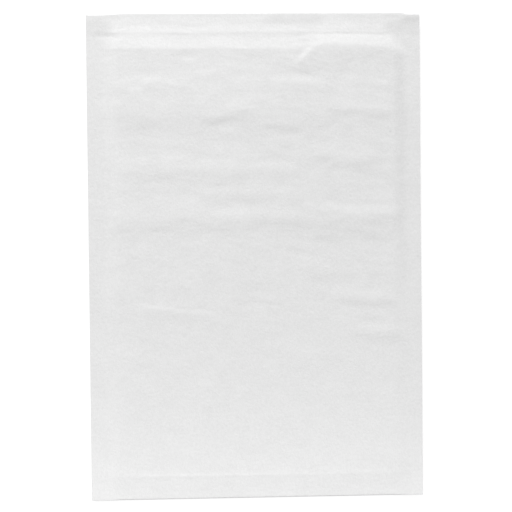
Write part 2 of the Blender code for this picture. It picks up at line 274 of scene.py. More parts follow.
CREASES_TOP_RIGHT = [
    (32, 35, 41, 24.5, 6.5), (41, 24.5, 48, 22.5, 3), (12, 48, 30, 48.5, 2.2), (30, 48, 50, 49, 1.5),
    (60, 47, 75, 47, 1), (85, 47, 97, 52, 1.2), (11, 65, 19, 64.5, 2), (20, 53, 25, 57, 0.8),
    (65, 79, 72, 79, 0.8), (15, 90, 33, 90, 1.2), (0, 91, 15, 91, 0.8), (55, 86, 63, 86, 0.7),
    (87, 112, 97, 109, 1.3), (92, 92, 97, 95, 0.8), (0, 109, 25, 109, 1.3),
    (40, 116, 50, 114, 0.7), (33, 130, 45, 134, 0.8), (25, 145, 32, 145, 1), (0, 144, 20, 144, 1.2),
    (15, 36, 22, 38, -1.8), (25, 41, 40, 44, -2.3), (42, 41, 52, 39, -1.4), (60, 42, 72, 42, -1),
    (83, 30, 88, 31, -1.2), (75, 42, 95, 44, -0.8), (48, 58, 60, 56, -1), (83, 59, 92, 54, -1),
    (75, 66, 87, 63, -1), (58, 72, 80, 72, -2.2), (83, 76, 95, 75, -1.5), (28, 70, 35, 69, -0.8),
    (0, 74, 15, 76, -1.2), (8, 82, 17, 82, -2), (20, 84, 31, 86, -1.6), (45, 83, 55, 81, -1.5),
    (65, 84, 72, 83, -1.2), (35, 91, 41, 90, -1), (18, 97, 27, 96, -1.5), (10, 100, 18, 103, -1.2),
    (60, 97, 67, 95, -1.6), (84, 97, 90, 96, -1), (42, 105, 52, 106, -1.3),
    (55, 110, 85, 110, -1.5), (72, 114, 82, 115, -1.8), (18, 119, 28, 118, -1),
    (90, 119, 103, 119, -0.7), (50, 134, 60, 132, -1.1), (0, 136, 5, 137, -1.2),
    (22, 137, 35, 137, -1.5), (60, 137, 100, 137, -0.9), (78, 152, 90, 152, -0.8),
    (18, 157, 24, 157, -1.6), (40, 163, 60, 165, -1.2), (75, 163, 85, 163, -1.2),
    (20, 168, 33, 171, -1.3),
]
CREASES_LOW = [
    (-93, 176, -85, 175, -1.2), (-75, 184, -68, 185, -1.2), (-55, 199, -48, 198, -1.5),
    (-80, 200, -70, 198, -1), (0, 197, 10, 197, -1.2), (15, 190, 25, 186, -1.2),
    (40, 192, 60, 190, -1), (77, 197, 87, 193, -1.2), (-10, 209, -5, 209, -1),
    (15, 208, 22, 209, -1), (60, 208, 72, 209, -1.5), (68, 212, 100, 210, -1.5),
    (75, 222, 95, 222, -1.2), (-23, 223, -17, 224, -1.3), (15, 225, 25, 226, -1.2),
    (5, 232, 35, 230, -1), (80, 236, 100, 236, -0.9), (42, 237, 50, 238, -1), (77, 262, 85, 260, -0.8),
    (-80, 210, -66, 211.5, 1), (-62, 213, -52, 214, 0.8), (-45, 215, -25, 215, 1),
    (40, 199, 55, 197, 0.8), (60, 203, 95, 202, 0.8), (75, 227, 85, 225, 1.8), (85, 226, 100, 229, 1),
    (45, 245, 55, 240, 0.8), (80, 244, 95, 242, 1), (-95, 244, -88, 245, 0.8),
    (-82, 249, -75, 248, 1), (-112, 245, -105, 243, 0.8), (-98, 267, -92, 267, 0.8),
    (-100, 283, -92, 283, 0.7), (85, 271, 98, 271, 0.7), (8, 275, 18, 274, 0.7),
    (-68, 307, -58, 307, 0.6),
    (105, 340, 112, 336, 1),
]
CREASES_BAND = [
    (107, 4.6, 121, 5.5, -5), (94, 3.8, 106, 2.8, -2.5), (-30, 5, -15, 5, -0.8), (-52, 9, -42, 9, -0.8),
    (62, 4, 90, 4, -0.8), (-113, 14.4, -99, 16.6, -2.8), (-112, 23, -107, 23, -1.5),
    (-110, 24.5, -105, 24.5, 1), (60, 6, 72, 9, 1.5), (109, 23.5, 112, 23.5, -1.5),
    (107, 33, 111, 32, -1.5),
]
CREASES_SHARP = [
    (-112, 12.2, 42, 12.6, 1.5), (-104, 15.3, 50, 15.4, -0.8), (50, 15.2, 98, 15.4, -3.5),
    (-5, 17.6, 24, 17.6, -1.6), (-82, 210.3, -64, 212, 2.4), (-64, 212, -48, 214.2, 1.7),
    (30, 19.5, 40, 19.5, -1.2), (-30, 11, 20, 10.8, 0.8), (46, 11, 80, 11.5, 0.9),
    (-86, 332.2, 56, 333, 3), (56, 333, 108, 333, 0.9), (-85, 334.4, 45, 335, -0.4),
]
CREASES_WIDE = [
    (8, 5.5, 50, 5.5, -3), (-30, 144, 0, 144, 1.5), (50, 139, 95, 143, 1.6), (0, 150, 100, 160, -1),
    (42, 162, 88, 163, -1.1), (60, 151, 95, 152, -0.8), (50, 12, 98, 12, -1.5),
    (50, 27, 92, 29, -1.2), (60, 4, 95, 5, -0.8), (18, 38, 40, 42, -0.9), (99, 20.5, 112, 21.5, -1.5),
]
CREASES = CREASES_TOP_LEFT + CREASES_TOP_RIGHT + CREASES_LOW + CREASES_BAND
print(len(CREASES), "creases,", len(CREASES_SHARP), "sharp ones and", len(CREASES_WIDE), "wide ones")

# %% Relief of the creases
# Slope of a crease of tilt 1, the reach of its three kinds, and the length over which it fades
TILT = 0.031
CREASE_REACH, SHARP_REACH, WIDE_REACH, CREASE_END = 2.5 * MM, 0.9 * MM, 4.5 * MM, 3 * MM
# Hollows and swells: centre (x, depth), reach across and along, height, all in millimetres
HOLLOWS = [(-107, 16.5, 6, 2.6, -0.22), (-108, 22, 5, 2.5, 0.08), (113, 8.5, 7, 4, -0.2)]


def crease_relief(x, depth, creases, reach):
    relief = 0
    for x0, d0, x1, d1, tilt in creases:
        along, across, length = along_line(x, depth, x0 * MM, d0 * MM, x1 * MM, d1 * MM)
        ends = ramp(along, -CREASE_END, CREASE_END) * ramp(length - along, -CREASE_END, CREASE_END)
        relief = relief + tilt * TILT * ends * across / (1 + (across / reach) ** 2)
    return relief


def hollow_relief(x, depth):
    relief = 0
    for place, down, wide, long, height in HOLLOWS:
        away = ((x / MM - place) / wide) ** 2 + ((depth / MM - down) / long) ** 2
        relief = relief + height * MM * np.exp(-away)
    return relief


print("deepest hollow:", min(hollow[-1] for hollow in HOLLOWS), "mm")

# %% [markdown]
# ## Ripples and the bubbles' print
# Between the drawn creases the paper ripples without order. Perlin noise gives that, stretched
# across the envelope and bent by a second noise so that no ripple runs straight.
# The rows of bubbles below press through as faint rounds, on the same pattern as the film's.

# %% Ripples and puckers
RIPPLE_UPPER, RIPPLE_LOW, RIPPLE_SPAN = 0.12 * MM, 0.06 * MM, (180 * MM, 270 * MM)
# Size of the bends, and sizes of ripples and crinkles across and down, in metres
BEND_SIZE, RIPPLE_SIZE, CRINKLE_SIZE = 0.03, (0.026, 0.0065), (0.0075, 0.0042)
# Small puckers along the inner edge of each pressed strip
PUCKER_PLACE, PUCKER_REACH, PUCKER_HEIGHT, PUCKER_STEP = 109 * MM, 3 * MM, 0.07 * MM, 2.4 * MM


def ripple(x, depth):
    """Noise between about -1 and 1: long bent ripples with shorter ones on them.

    The last number of each place picks a layer of the noise, as a seed would.
    """
    bend = noise.noise(Vector((x / BEND_SIZE, depth / BEND_SIZE, 4.7)))
    place = Vector((x / RIPPLE_SIZE[0] + bend, depth / RIPPLE_SIZE[1] + 1.2 * bend, 1.3))
    crinkle = noise.noise(Vector((x / CRINKLE_SIZE[0] + bend, depth / CRINKLE_SIZE[1], 8.6)))
    return 0.6 * noise.noise(place) + 0.45 * noise.noise(place * 2.3) + 0.3 * crinkle


def puckers(x, depth):
    """Little ridges across each side strip's inner edge, where the paper was pressed together."""
    left, right = (noise.noise(Vector((side, depth / PUCKER_STEP, 3.3))) for side in (0.4, 7.9))
    return np.where(x > 0, right, left) * np.exp(-(((abs(x) - PUCKER_PLACE) / PUCKER_REACH) ** 2))


print("ripples of", RIPPLE_UPPER / MM, "mm above and", RIPPLE_LOW / MM, "mm below")

# %% The bubbles' print
BUBBLE_PITCH, BUBBLE_RADIUS, PRINT_HEIGHT = 11 * MM, 4.8 * MM, 0.012 * MM
# Six neighbours round each bubble put the columns closer than the bubbles in a column
BUBBLE_COLUMN, BUBBLE_MIDDLE = BUBBLE_PITCH * cos(pi / 6), 183 * MM
# Depths over which the print sets in, where the film begins
PRINT_SPAN = (17 * MM, 26 * MM)


def bubble_print(x, depth):
    """1 over the middle of a bubble and 0 between bubbles."""
    column = np.round(x / BUBBLE_COLUMN)
    shift = BUBBLE_PITCH / 2 * (column % 2)
    place = (depth - BUBBLE_MIDDLE - shift) / BUBBLE_PITCH
    across = x - column * BUBBLE_COLUMN
    down = (place - np.round(place)) * BUBBLE_PITCH
    return ramp(np.hypot(across, down), BUBBLE_RADIUS, 0)


print("bubbles every", round(BUBBLE_PITCH / MM), "mm, columns every", round(BUBBLE_COLUMN / MM, 2), "mm")

# %% Front and back in full
# What the pressed strips keep of the creases and of the ripples
STRIP_CREASE, STRIP_RIPPLE = 0.6, 0.35
# Slack of the back: its height, its size across and down, and the noise from which it lifts
SLACK, SLACK_SIZE, SLACK_SPAN = 0.12 * MM, (0.05, 0.022), (-0.2, 0.7)


def fine_relief(x, depth):
    """All that lies on the front panel's broad form, weaker on the pressed strips."""
    creased = crease_relief(x, depth, CREASES, CREASE_REACH)
    creased = creased + crease_relief(x, depth, CREASES_SHARP, SHARP_REACH)
    creased = creased + crease_relief(x, depth, CREASES_WIDE, WIDE_REACH) + hollow_relief(x, depth)
    strength = mix(RIPPLE_UPPER, RIPPLE_LOW, ramp(depth, *RIPPLE_SPAN))
    rippled = strength * np.array([ripple(value, depth) for value in x])
    printed = PRINT_HEIGHT * bubble_print(x, depth) * ramp(depth, *PRINT_SPAN)
    creased = creased * mix(STRIP_CREASE, 1, front_bulge(x, depth))
    rippled = (rippled + printed) * mix(STRIP_RIPPLE, 1, front_bulge(x, depth))
    return creased + rippled + PUCKER_HEIGHT * puckers(x, depth)


def dressed_front(x, depth):
    return front_height(x, depth) + fine_relief(x, depth)


def dressed_back(x, depth):
    """The back panel with slack that lifts it a little from the table in soft waves."""
    wide, long = SLACK_SIZE
    waves = np.array([noise.noise(Vector((value / wide, depth / long, 9.1))) for value in x])
    return back_height(x, depth) + SLACK * ramp(waves, *SLACK_SPAN)


relief = fine_relief(np.linspace(-HALF, HALF, 200), 70 * MM) / MM
print("fine relief 70 mm from the fold, mm:", round(relief.min(), 2), "to", round(relief.max(), 2))

# %% [markdown]
# ## The web of paper
# The sheet is a grid of columns and rows. Each row belongs to one panel or to one step of a fold,
# and each fold is about half an ellipse. Rows lie close together only on the front, where creases
# show. The real side seams are glued, so both rims are closed from the mouth down by a strip of
# faces that walks along both edges at once. Solidify then gives the paper its thickness.
# A flat sheet folded by a simulation would not land on the folds of the solid.

# %% Rows and columns
SHARP_STEP, FINE_STEP, FRONT_STEP, LOW_STEP = 0.5 * MM, 0.85 * MM, 1.3 * MM, 1.9 * MM
BACK_STEP, FLAP_STEP, FOLD_STEPS = 7 * MM, 5 * MM, 12
# Depths up to which the front's rows keep a spacing, which is least where sharp creases lie
ROW_SPANS = [(10 * MM, FINE_STEP), (19 * MM, SHARP_STEP), (38 * MM, FINE_STEP), (180 * MM, FRONT_STEP),
             (208 * MM, LOW_STEP), (217 * MM, FINE_STEP), (326 * MM, LOW_STEP), (330 * MM, FINE_STEP),
             (336 * MM, SHARP_STEP), (347 * MM, FINE_STEP)]
# Depth at which the back's rows begin, past the bottom fold
BACK_START = 345 * MM
# Spacing of the columns on the strips, on their slopes and over the padding
STRIP_COLUMNS, SLOPE_COLUMNS, PAD_COLUMNS = 2.7 * MM, 1.25 * MM, 2.4 * MM
# Between these places across, the columns are twice as close, for the crease that leans
CLOSE_COLUMNS = (28 * MM, 50 * MM)
RIM_X = HALF - PAPER / 2


def evenly(start, end, step):
    """Evenly spaced values from start to end, about a step apart."""
    return list(np.linspace(start, end, max(round(abs(end - start) / step), 1) + 1))


def sheet_rows():
    front = [FOLD_REACH]
    for end, step in ROW_SPANS:
        front += evenly(front[-1], end, step)[1:]
    turns = [step / FOLD_STEPS for step in range(FOLD_STEPS + 1)]
    rows = [("flap", depth) for depth in evenly(FLAP, FOLD_REACH, FLAP_STEP)[:-1]]
    rows += [("top fold", 1 - turn) for turn in turns] + [("front", depth) for depth in front]
    rows += [("low fold", turn) for turn in turns]
    return rows + [("back", depth) for depth in evenly(BACK_START, MOUTH, BACK_STEP)]


def sheet_columns():
    strip = evenly(RIM_X, HALF - SEAM, STRIP_COLUMNS)
    slope = evenly(HALF - SEAM, HALF - SEAM - BACK_SLOPE, SLOPE_COLUMNS)[1:]
    middle = evenly(HALF - SEAM - BACK_SLOPE, 0, PAD_COLUMNS)[1:]
    right = strip + slope + middle
    across = np.array([-x for x in right[:-1]] + right[::-1])
    between = (across[1:] + across[:-1]) / 2
    close = between[(between > CLOSE_COLUMNS[0]) & (between < CLOSE_COLUMNS[1])]
    return np.sort(np.concatenate([across, close]))


rows, columns = sheet_rows(), sheet_columns()
print(len(rows), "rows and", len(columns), "columns")

# %% Places of a row
# How far the top fold reaches out over the padding, and its depth and reach at the seams
FOLD_ROUND, FOLD_DEPTH_SEAM, FOLD_ROUND_SEAM = 1.3 * MM, 2.4 * MM, 1.0 * MM
# Distances from the side over which the top fold steps out to its full depth, left and right
FOLD_STEP_LEFT, FOLD_STEP_RIGHT = (8 * MM, 30 * MM), (9 * MM, 14 * MM)
# Reach of the bottom fold over the padding and at the seams
LOW_FOLD_REACH, LOW_FOLD_REACH_SEAM = 0.9 * MM, 0.35 * MM
# Below 1 this flattens a fold's faces and tightens its shoulders
FOLD_POWER = 0.65


def sheet_row(x, panel, value):
    """Places of one row of the web, one for each column, over which 0 * x spreads a single depth."""
    if panel == "flap":
        return TOP_Y - value + 0 * x, PAPER / 2 + end_lift(x, value)
    if panel == "front":
        return TOP_Y - value + 0 * x, dressed_front(x, value)
    if panel == "back":
        return TOP_Y - value + 0 * x, dressed_back(x, value)
    if panel == "top fold":
        bulge = np.where(x > 0, ramp(HALF - x, *FOLD_STEP_RIGHT), ramp(HALF + x, *FOLD_STEP_LEFT))
        reach = mix(FOLD_ROUND_SEAM, FOLD_ROUND, bulge) - PAPER / 2
        depth, side = mix(FOLD_DEPTH_SEAM, FOLD_ROUND, bulge), 1
        upper, lower = dressed_front(x, FOLD_REACH), PAPER / 2 + end_lift(x, FOLD_REACH)
    else:
        reach = mix(LOW_FOLD_REACH_SEAM, LOW_FOLD_REACH, front_bulge(x, LENGTH))
        depth, side = LENGTH - PAPER / 2 - reach, -1
        upper, lower = front_height(x, depth), back_height(x, depth)
    out, up = sin(pi * value), cos(pi * value)
    out, up = out ** FOLD_POWER, abs(up) ** FOLD_POWER * (1 if up > 0 else -1)
    return TOP_Y - depth + side * reach * out, (upper + lower) / 2 + (upper - lower) / 2 * up


across, up = sheet_row(columns, "top fold", 0.5)
print("the top fold reaches Y =", round(across.max() / MM, 1), "mm")

# %% From corners to a piece
def piece_from(name, corners, faces):
    mesh = bpy.data.meshes.new(name)
    mesh.from_pydata(corners, [], faces)
    piece = bpy.data.objects.new(name, mesh)
    bpy.context.scene.collection.objects.link(piece)
    return piece


@contextmanager
def opened(piece):
    """A piece's mesh, opened for an operation on it and written back after that."""
    bm = bmesh.new()
    bm.from_mesh(piece.data)
    yield bm
    bm.to_mesh(piece.data)
    bm.free()


def turn_outwards(piece):
    with opened(piece) as bm:
        bmesh.ops.recalc_face_normals(bm, faces=bm.faces)


def thicken(piece, thickness):
    skin = piece.modifiers.new("thickness", "SOLIDIFY")
    skin.thickness, skin.offset = thickness, 0


def make_plain(piece, sharp_degrees=40):
    """Turn what the modifiers give into the piece's own mesh, smooth but for its sharp edges."""
    graph = bpy.context.evaluated_depsgraph_get()
    result = bpy.data.meshes.new_from_object(piece.evaluated_get(graph), depsgraph=graph)
    piece.modifiers.clear()
    piece.data = result
    result.shade_smooth()
    result.set_sharp_from_angle(angle=radians(sharp_degrees))
    result.calc_loop_triangles()
    print(piece.name, len(result.loop_triangles), "triangles")


# %% Build the sheet
def rim_strip(corners, upper, lower):
    """Triangles between two edges that meet at their last corner, which is the same one."""
    faces, high, low = [], 0, 0
    while high < len(upper) - 1 or low < len(lower) - 1:
        ends = high == len(upper) - 1 or (low < len(lower) - 1 and
                                          corners[lower[low + 1]][1] > corners[upper[high + 1]][1])
        third = lower[low + 1] if ends else upper[high + 1]
        step = (upper[high], third, lower[low])
        if len(set(step)) == 3:
            faces.append(step)
        low, high = low + ends, high + (not ends)
    return faces


places = [sheet_row(columns, *row) for row in rows]
corners = [(x, y, z) for across, up in places for x, y, z in zip(columns, across, up)]
wide = len(columns)
faces = [(row * wide + c, (row + 1) * wide + c, (row + 1) * wide + c + 1, row * wide + c + 1)
         for row in range(len(rows) - 1) for c in range(wide - 1)]
mouth_row = next(number for number, row in enumerate(rows) if row[0] == "front" and row[1] >= MOUTH)
turn_row = rows.index(("low fold", 0.5))
for c in (0, wide - 1):
    upper = [row * wide + c for row in range(mouth_row, turn_row + 1)]
    lower = [row * wide + c for row in range(len(rows) - 1, turn_row - 1, -1)]
    faces += rim_strip(corners, upper, lower)
paper = piece_from("envelope_paper", corners, faces)
turn_outwards(paper)
thicken(paper, PAPER)
make_plain(paper)

# %% [markdown]
# ## Wires for materials
# A material is a tree of nodes. Written as plain sums, such a tree is easier to read, so one small
# class wraps an output socket: adding or multiplying wires adds the Math node for it.
# Every other node comes from its node method, which takes the type, the settings and the values.

# %% The wire class
class Wire:
    """An output socket that can stand in a sum. Works in material and geometry trees."""

    def __init__(self, tree, socket=None):
        self.tree, self.socket = tree, socket

    def node(self, kind, settings=None, values=None, out=0):
        """Add a node, with its settings first and then the values or wires of its sockets."""
        node = self.tree.nodes.new(kind)
        for name, value in (settings or {}).items():
            setattr(node, name, value)
        for name, value in (values or {}).items():
            if isinstance(value, Wire):
                self.tree.links.new(value.socket, node.inputs[name])
            else:
                node.inputs[name].default_value = value
        return Wire(self.tree, node.outputs[out])

    def sum(self, operation, *terms):
        return self.node("ShaderNodeMath", {"operation": operation}, dict(enumerate(terms)))

    def __add__(self, other): return self.sum("ADD", self, other)
    def __radd__(self, other): return self.sum("ADD", other, self)
    def __sub__(self, other): return self.sum("SUBTRACT", self, other)
    def __rsub__(self, other): return self.sum("SUBTRACT", other, self)
    def __mul__(self, other): return self.sum("MULTIPLY", self, other)
    def __rmul__(self, other): return self.sum("MULTIPLY", other, self)
    def __truediv__(self, other): return self.sum("DIVIDE", self, other)
    def __pow__(self, other): return self.sum("POWER", self, other)

    def between(self, start, end):
        """0 at start and 1 at end, smooth between them."""
        return self.node("ShaderNodeMapRange", {"interpolation_type": "SMOOTHSTEP"},
                         {"Value": self, "From Min": start, "From Max": end})


print("a wire has", sum(callable(value) for value in vars(Wire).values()), "methods")

# %% [markdown]
# ## Helpers for finishes
# Each finish is one Principled shader with a colour, a roughness and a small relief, all driven by
# noise on Object coordinates. Those are in metres and stay with the piece, wherever it is seen from.
# What is the same all over a surface is set on the shader's own socket.

# %% Finish helpers
def new_finish(name, colour, roughness, **constants):
    """A material with one Principled shader; gives it, the shader and the place on the object."""
    finish = bpy.data.materials.new(name)
    finish.use_nodes = True
    shader = finish.node_tree.nodes["Principled BSDF"]
    shader.inputs["Base Color"].default_value = (*colour, 1)
    shader.inputs["Roughness"].default_value = roughness
    for socket, value in constants.items():
        shader.inputs[socket.replace("_", " ")].default_value = value
    place = Wire(finish.node_tree).node("ShaderNodeTexCoord", out="Object")
    print("finish", name)
    return finish, shader, place


def grain(place, scale, detail, stretch=(1, 1, 1), distortion=0.0):
    """Noise from 0 to 1, with a size of about 1 / scale metres, stretched along the axes."""
    laid = place.node("ShaderNodeMapping", {"vector_type": "POINT"}, {"Vector": place, "Scale": stretch})
    values = {"Vector": laid, "Scale": scale, "Detail": detail, "Distortion": distortion}
    return place.node("ShaderNodeTexNoise", {"noise_dimensions": "3D"}, values)


def plug(shader, socket, wire):
    shader.id_data.links.new(wire.socket, shader.inputs[socket])


def plug_relief(shader, height, strength, distance):
    """Tilt the shading as a relief of a wire's height would, at most a distance deep."""
    values = {"Strength": strength, "Distance": distance, "Height": height}
    plug(shader, "Normal", height.node("ShaderNodeBump", {}, values))


def shade_colour(dark, light, share):
    """The colour between two colours, by a wire from 0 to 1."""
    values = {"Factor": share, "A": (*dark, 1), "B": (*light, 1)}
    return share.node("ShaderNodeMix", {"data_type": "RGBA"}, values, out="Result")


# %% [markdown]
# ## White kraft paper
# The outer paper is bleached kraft: matt, with a cloudy formation where fibres lie thicker,
# a faint fibre relief and a few dark specks of bark. A scan would show more of it, but noise of
# the right sizes has no seams and repeats nowhere. The clouds are very weak, because the paper is
# almost evenly white. Its sheen is weaker than the shader's own, as uncoated paper hardly shines.

# %% Paper finish
PAPER_DARK, PAPER_LIGHT = (0.724, 0.724, 0.724), (0.843, 0.843, 0.843)
# Specks of bark: places (x, y) and height in millimetres, and distances where each ends and is full
SPECKS, SPECK_HEIGHT, SPECK_EDGE = [(20, 18), (56, -63), (13, -124), (98, 89)], 5.6, (1.1 * MM, 0.4 * MM)

white_paper, shader, place = new_finish("white_paper", (0.79, 0.79, 0.79), 0.75, Specular_IOR_Level=0.12)
clouds = grain(place, 90, detail=3)
flocks = grain(place, 520, detail=3, distortion=0.6)
fibres = grain(place, 1500, detail=2, stretch=(1, 0.35, 1), distortion=1.2)
patches = grain(place, 32, detail=1)
tone = 0.25 * clouds + 0.45 * flocks + 0.3 * fibres
for x, y in SPECKS:
    reach = place.node("ShaderNodeVectorMath", {"operation": "DISTANCE"},
                       {0: place, 1: (x * MM, y * MM, SPECK_HEIGHT * MM)}, out="Value")
    tone = tone - 0.8 * reach.between(*SPECK_EDGE)
plug(shader, "Base Color", shade_colour(PAPER_DARK, PAPER_LIGHT, tone.between(0.1, 0.9)))
plug(shader, "Roughness", 0.7 + 0.12 * flocks)
relief = (0.65 * flocks + 0.35 * fibres) * (0.5 + patches)
plug_relief(shader, relief, 1.0, 0.205 * MM)
paper.data.materials.clear()
paper.data.materials.append(white_paper)

# %% [markdown]
# ## The bubble film
# Bubble film is two thin films: a flat one, and one drawn up into round blisters full of air.
# Here it makes a pocket, open at the mouth and sealed at its sides and at the bottom, with the
# blisters towards the paper. It could be cut from one film and folded; here it is built straight
# in its folded shape. First comes the flat pocket, a closed ring of columns for each row.
# Every corner remembers how much room there is between it and the paper.

# %% The flat pocket of film
FILM, FILM_SIDE, FILM_MOUTH, FILM_FOLD = 0.1 * MM, 106 * MM, 20.5 * MM, 346 * MM
FILM_GAP, POCKET_OPEN, FILM_STEP, FILM_COLUMNS = 0.5 * MM, 0.25 * MM, 5 * MM, 45
# Share of the half width, and length above the fold, over which the two films meet
MEET_SIDE, MEET_FOLD = 0.08, 10 * MM
# Corners nearer than this, where both films have met, become one
SAME_PLACE = 0.005 * MM

shares = np.linspace(-1, 1, FILM_COLUMNS)
depths = evenly(FILM_MOUTH, FILM_FOLD, FILM_STEP)
corners, room = [], []
for depth in depths:
    x = shares * FILM_SIDE
    upper = front_height(x, depth) - PAPER / 2 - FILM_GAP
    lower = back_height(x, depth) + PAPER / 2 + FILM_GAP
    middle = (upper + lower) / 2
    open_share = ramp(1 - abs(shares), 0, MEET_SIDE) * ramp(FILM_FOLD - depth, 0, MEET_FOLD)
    for side, limit in ((1, upper), (-1, lower)):
        order = slice(None) if side == 1 else slice(-2, 0, -1)
        level = middle + side * POCKET_OPEN * open_share
        corners += [(a, TOP_Y - depth, b) for a, b in zip(x[order], level[order])]
        room += list(np.maximum(side * (limit - level), 0)[order])
around = 2 * len(shares) - 2
faces = [(row * around + c, (row + 1) * around + c, (row + 1) * around + (c + 1) % around,
          row * around + (c + 1) % around) for row in range(len(depths) - 1) for c in range(around)]
film = piece_from("bubble_film_pocket", corners, faces)
film.data.attributes.new("room", "FLOAT", "POINT").data.foreach_set("value", room)
with opened(film) as bm:
    bmesh.ops.remove_doubles(bm, verts=bm.verts, dist=SAME_PLACE)
thicken(film, FILM)
make_plain(film)

# %% [markdown]
# ## Blisters by Geometry Nodes
# Hundreds of blisters on a regular pattern are work for Geometry Nodes. A grid of points is
# shifted in every other column, so that each blister has six neighbours. A ray from each point
# finds the film and reads the room above it, and a dome of that height is put there.
# The dome is a cone whose rings are moved onto a rounded profile, closed below. It has few faces,
# because it is repeated about a thousand times.

# %% The blister tree
tree = bpy.data.node_groups.new("blisters", "GeometryNodeTree")
tree.is_modifier = True
tree.interface.new_socket("Film", in_out="INPUT", socket_type="NodeSocketGeometry")
INPUTS = {"Pitch": ("NodeSocketFloat", BUBBLE_PITCH), "Radius": ("NodeSocketFloat", BUBBLE_RADIUS),
          "Columns": ("NodeSocketInt", 21), "Rows": ("NodeSocketInt", 28),
          "Middle": ("NodeSocketFloat", TOP_Y - BUBBLE_MIDDLE),
          "Least room": ("NodeSocketFloat", 0.4 * MM), "Film material": ("NodeSocketMaterial", None)}
for name, (kind, value) in INPUTS.items():
    tree.interface.new_socket(name, in_out="INPUT", socket_type=kind)
tree.interface.new_socket("Geometry", in_out="OUTPUT", socket_type="NodeSocketGeometry")
print("inputs of the tree:", ", ".join(INPUTS))
start = Wire(tree)
given = tree.nodes.new("NodeGroupInput")
film_in, pitch, radius, count_x, count_y, centre, least, skin = (
    Wire(tree, out) for out in given.outputs[:8])


def vector(x, y, z):
    return start.node("ShaderNodeCombineXYZ", {}, {"X": x, "Y": y, "Z": z})


def part_of(wire, axis):
    return wire.node("ShaderNodeSeparateXYZ", {}, {"Vector": wire}, out=axis)


# %% One blister
DOME_SIDES, DOME_RINGS = 10, 3
spot = start.node("GeometryNodeInputPosition")
ring = start.node("ShaderNodeVectorMath", {"operation": "LENGTH"},
                  {0: vector(part_of(spot, "X"), part_of(spot, "Y"), 0.0)}, out="Value")
# Rings of the cone move outwards and up onto the rounded profile
wider = ring.sum("MAXIMUM", ring, 0.001) ** -0.4
swell = ring.sum("MAXIMUM", 1 - ring**1.8, 0.0) ** 0.5
cone = start.node("GeometryNodeMeshCone", {"fill_type": "NGON"},
                  {"Vertices": DOME_SIDES, "Side Segments": DOME_RINGS, "Radius Top": 0.0,
                   "Radius Bottom": 1.0, "Depth": 1.0})
dome = start.node("GeometryNodeSetPosition", {}, {
    "Geometry": cone, "Position": vector(part_of(spot, "X") * wider, part_of(spot, "Y") * wider, swell)})
print("a blister has", DOME_SIDES * DOME_RINGS, "faces round its dome")

# %% Blisters on both films
# How far off the film the rays start, how far they reach, and what a dome takes of its room
RAY_START, RAY_LENGTH, ROOM_TAKEN = 50 * MM, 0.2, 0.92
column = pitch * cos(pi / 6)
grid = start.node("GeometryNodeMeshGrid", {}, {
    "Size X": column * (count_x - 1), "Size Y": pitch * (count_y - 1),
    "Vertices X": count_x, "Vertices Y": count_y})
number = start.sum("ROUND", part_of(spot, "X") / column)
shift = pitch * -0.5 * start.sum("FLOORED_MODULO", number, 2.0)


def layer(side):
    """Blisters on the upper film, side 1, or on the lower film, side -1."""
    lifted = start.node("GeometryNodeSetPosition", {}, {
        "Geometry": grid, "Offset": vector(0.0, shift + centre, RAY_START * side)})
    room = start.node("GeometryNodeInputNamedAttribute", {"data_type": "FLOAT"}, {"Name": "room"})
    ray = start.node("GeometryNodeRaycast", {"data_type": "FLOAT"}, {
        "Target Geometry": film_in, "Attribute": room, "Ray Direction": (0, 0, -side),
        "Ray Length": RAY_LENGTH})
    found = {out.name: Wire(tree, out) for out in ray.socket.node.outputs if out.enabled}
    kept = start.node("GeometryNodeStoreNamedAttribute", {"data_type": "FLOAT"}, {
        "Geometry": lifted, "Name": "height", "Value": found["Attribute"]})
    landed = start.node("GeometryNodeSetPosition", {}, {
        "Geometry": kept, "Position": found["Hit Position"]})
    height = start.node("GeometryNodeInputNamedAttribute", {"data_type": "FLOAT"}, {"Name": "height"})
    enough = start.node("FunctionNodeCompare", {"operation": "GREATER_THAN"}, {"A": height, "B": least})
    return start.node("GeometryNodeInstanceOnPoints", {}, {
        "Points": landed, "Selection": enough, "Instance": dome,
        "Scale": vector(radius, radius, height * ROOM_TAKEN), "Rotation": (0 if side == 1 else pi, 0, 0)})


joined = tree.nodes.new("GeometryNodeJoinGeometry")
for part in (film_in, layer(1), layer(-1)):
    tree.links.new(part.socket, joined.inputs[0])
solid = start.node("GeometryNodeRealizeInstances", {}, {"Geometry": Wire(tree, joined.outputs[0])})
painted = start.node("GeometryNodeSetMaterial", {}, {"Geometry": solid, "Material": skin})
out = tree.nodes.new("NodeGroupOutput")
tree.links.new(painted.socket, out.inputs[0])
print("the blister tree has", len(tree.nodes), "nodes")

# %% [markdown]
# ## Finish of the film
# The film is clear but a little milky, with fine streaks along the way it was drawn. Part of what
# lies behind it shows through, so its Alpha stays between 0.5 and 0.7. Glass would be the wrong
# choice here: so thin a film does not bend the light, and Alpha costs far less time.

# %% Film finish
bubble_film, shader, place = new_finish("bubble_film", (0.86, 0.87, 0.88), 0.25)
haze = grain(place, 160, detail=3)
streaks = grain(place, 400, detail=2, stretch=(1, 0.12, 1))
plug(shader, "Base Color", shade_colour((0.8, 0.815, 0.83), (0.9, 0.905, 0.91), haze))
plug(shader, "Roughness", 0.16 + 0.2 * streaks)
plug(shader, "Alpha", 0.5 + 0.2 * haze)
plug_relief(shader, streaks, 0.3, 0.05 * MM)

# %% Put the blisters on the film
blisters = film.modifiers.new("blisters", "NODES")
blisters.node_group = tree
sockets = {item.name: item.identifier for item in tree.interface.items_tree if item.in_out == "INPUT"}
for name, (kind, value) in INPUTS.items():
    blisters[sockets[name]] = bubble_film if name == "Film material" else value
make_plain(film, 50)
film.data.materials.clear()
film.data.materials.append(bubble_film)
for polygon in film.data.polygons:
    polygon.material_index = 0

